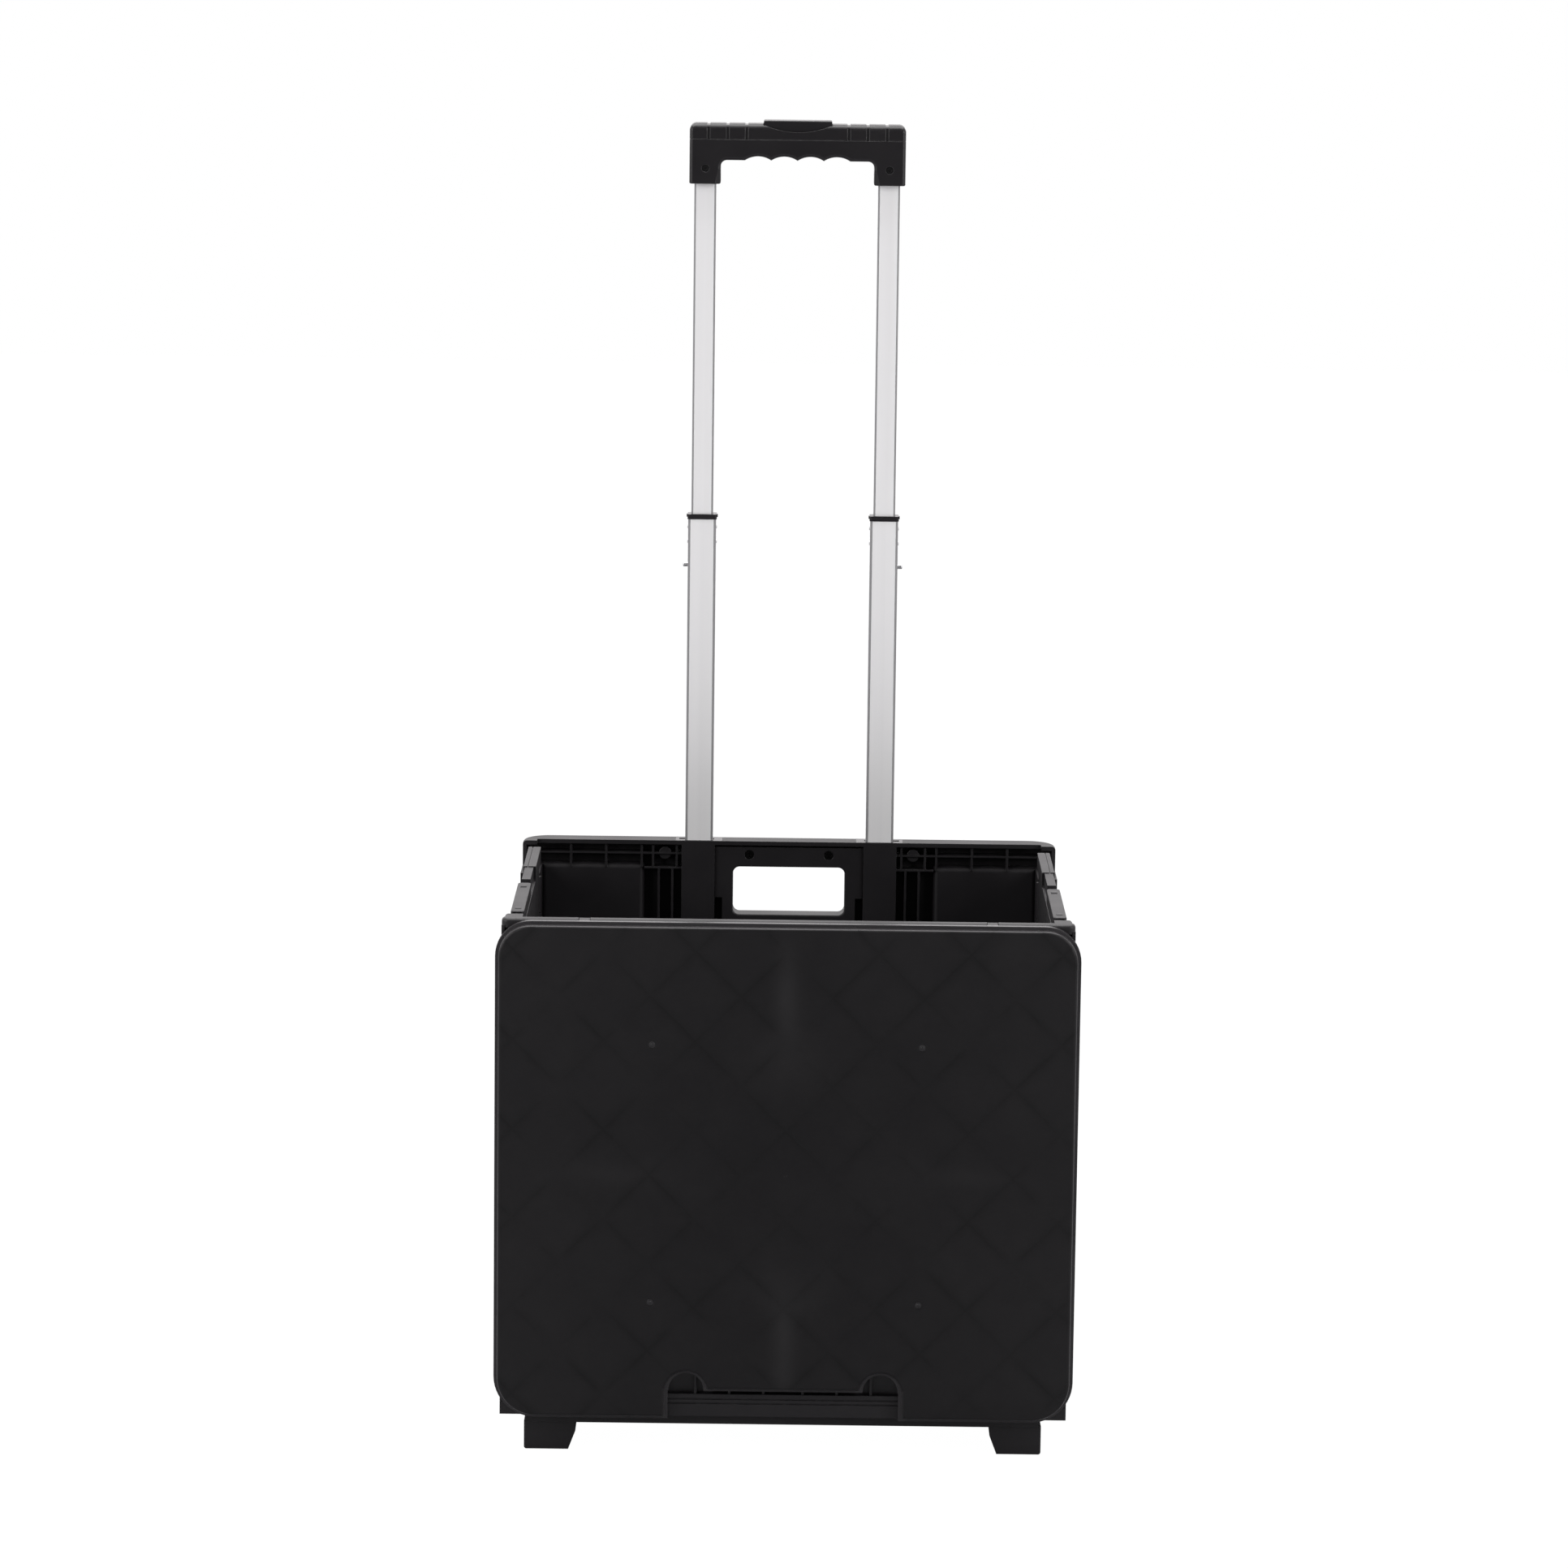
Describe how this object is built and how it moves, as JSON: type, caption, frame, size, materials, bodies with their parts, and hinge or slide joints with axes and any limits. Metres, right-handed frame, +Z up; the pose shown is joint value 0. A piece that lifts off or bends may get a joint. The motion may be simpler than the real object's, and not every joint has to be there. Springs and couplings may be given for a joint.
{
  "type": "folding rolling crate",
  "caption": "Black plastic folding crate on wheels with a telescopic aluminium handle, sliding wall locks and a loose lid hung on its front wall.",
  "frame": {"origin": "on the floor, under the middle of the standing object's box", "axes": "+Z up, +X to the right, -Y towards the front wall that carries the lid"},
  "size_m": [0.442, 0.4464, 1.0008],
  "materials": {
    "black_plastic": "fine grained black polypropylene, satin",
    "grip_plastic": "smooth black nylon, semi-gloss",
    "fitting_plastic": "smooth black acetal",
    "hub_plastic": "black moulded hub, satin",
    "tread_rubber": "soft grey-black tread",
    "silver_aluminium": "satin anodised, drawn lengthwise",
    "black_screws": "blackened steel screws",
    "steel": "bright zinc plated"
  },
  "bodies": {
    "rear": {"rear_frame": "black_plastic", "carry_grip_plate": "black_plastic", "carry_grip_screws": "black_screws", "tube_guide_bushes": "fitting_plastic", "left_axle_bracket": "black_plastic", "right_axle_bracket": "black_plastic", "bracket_screws": "steel", "axle": "steel", "axle_washers": "steel", "floor_hinge_rod": "steel", "rear_hinge_pins": "steel", "left_tube_cover": "black_plastic", "right_tube_cover": "black_plastic", "left_cover_screws": "steel", "right_cover_screws": "steel"},
    "floor": {"floor_panel": "black_plastic", "left_front_foot": "black_plastic", "right_front_foot": "black_plastic"},
    "left_rear_wall": {"left_rear_side_wall": "black_plastic", "left_mid_hinge_pin": "steel"},
    "left_front_wall": {"left_front_side_wall": "black_plastic"},
    "right_rear_wall": {"right_rear_side_wall": "black_plastic", "right_mid_hinge_pin": "steel"},
    "right_front_wall": {"right_front_side_wall": "black_plastic"},
    "front": {"front_wall": "black_plastic", "front_hinge_pins": "steel"},
    "lid": {"lid": "black_plastic", "lid_hooks": "black_plastic"},
    "left_lock": {"left_slide_lock": "black_plastic"},
    "right_lock": {"right_slide_lock": "black_plastic"},
    "lower_stage": {"left_lower_tube": "silver_aluminium", "left_tube_collar": "fitting_plastic", "left_lower_slide": "fitting_plastic", "left_spring_pin": "steel", "left_collar_crimps": "silver_aluminium", "right_lower_tube": "silver_aluminium", "right_tube_collar": "fitting_plastic", "right_lower_slide": "fitting_plastic", "right_spring_pin": "steel", "right_collar_crimps": "silver_aluminium"},
    "upper_stage": {"left_upper_tube": "silver_aluminium", "right_upper_tube": "silver_aluminium", "left_upper_slide": "fitting_plastic", "right_upper_slide": "fitting_plastic", "grip_body": "grip_plastic", "grip_cover": "grip_plastic", "grip_screws": "black_screws"},
    "button": {"push_button": "grip_plastic", "release_yoke": "steel", "button_spring": "steel"},
    "left_wheel": {"left_tyre": "tread_rubber", "left_wheel_hub": "hub_plastic", "left_wheel_cap": "hub_plastic"},
    "right_wheel": {"right_tyre": "tread_rubber", "right_wheel_hub": "hub_plastic", "right_wheel_cap": "hub_plastic"}
  },
  "joints": [
    {"name": "wall_fold", "type": "hinge", "parent": "rear", "child": "left_rear_wall", "pos_m": [-0.203, 0.0842, 0.216], "axis": [0, 0, 1], "range_deg": [0, 88]},
    {"name": "left_mid_hinge", "type": "hinge", "parent": "left_rear_wall", "child": "left_front_wall", "pos_m": [-0.212, -0.0513, 0.216], "axis": [0, 0, -1], "range_deg": [0, 176]},
    {"name": "left_front_hinge", "type": "hinge", "parent": "left_front_wall", "child": "front", "pos_m": [-0.203, -0.1868, 0.216], "axis": [0, 0, 1], "range_deg": [0, 88]},
    {"name": "right_rear_hinge", "type": "hinge", "parent": "rear", "child": "right_rear_wall", "pos_m": [0.203, 0.0842, 0.216], "axis": [0, 0, -1], "range_deg": [0, 88]},
    {"name": "right_mid_hinge", "type": "hinge", "parent": "right_rear_wall", "child": "right_front_wall", "pos_m": [0.212, -0.0513, 0.216], "axis": [0, 0, 1], "range_deg": [0, 176]},
    {"name": "floor_fold", "type": "hinge", "parent": "rear", "child": "floor", "pos_m": [0, 0.1262, 0.026], "axis": [-1, 0, 0], "range_deg": [0, 90]},
    {"name": "lid_lift", "type": "slide", "parent": "front", "child": "lid", "axis": [0, 0, 1], "range_m": [0, 0.43]},
    {"name": "handle_lower_stage", "type": "slide", "parent": "rear", "child": "lower_stage", "axis": [0, 0, 1], "range_m": [-0.253, 0]},
    {"name": "handle_upper_stage", "type": "slide", "parent": "lower_stage", "child": "upper_stage", "axis": [0, 0, 1], "range_m": [-0.262, 0]},
    {"name": "button_press", "type": "slide", "parent": "upper_stage", "child": "button", "axis": [0, 0, 1], "range_m": [-0.003, 0], "stiffness_N_per_m": 600, "springref_m": 0.006, "deforming": ["button_spring"]},
    {"name": "left_lock_slide", "type": "slide", "parent": "left_front_wall", "child": "left_lock", "axis": [0, -1, 0], "range_m": [-0.052, 0]},
    {"name": "right_lock_slide", "type": "slide", "parent": "right_front_wall", "child": "right_lock", "axis": [0, -1, 0], "range_m": [-0.052, 0]},
    {"name": "left_wheel_spin", "type": "hinge", "parent": "rear", "child": "left_wheel", "pos_m": [-0.192, 0.1812, 0.042], "axis": [1, 0, 0], "continuous": true},
    {"name": "right_wheel_spin", "type": "hinge", "parent": "rear", "child": "right_wheel", "pos_m": [0.192, 0.1812, 0.042], "axis": [1, 0, 0], "continuous": true}
  ],
  "couplings": [
    {"joint": "left_mid_hinge", "follows": "wall_fold", "ratio": 2},
    {"joint": "left_front_hinge", "follows": "wall_fold", "ratio": 1},
    {"joint": "right_rear_hinge", "follows": "wall_fold", "ratio": 1},
    {"joint": "right_mid_hinge", "follows": "wall_fold", "ratio": 2}
  ]
}
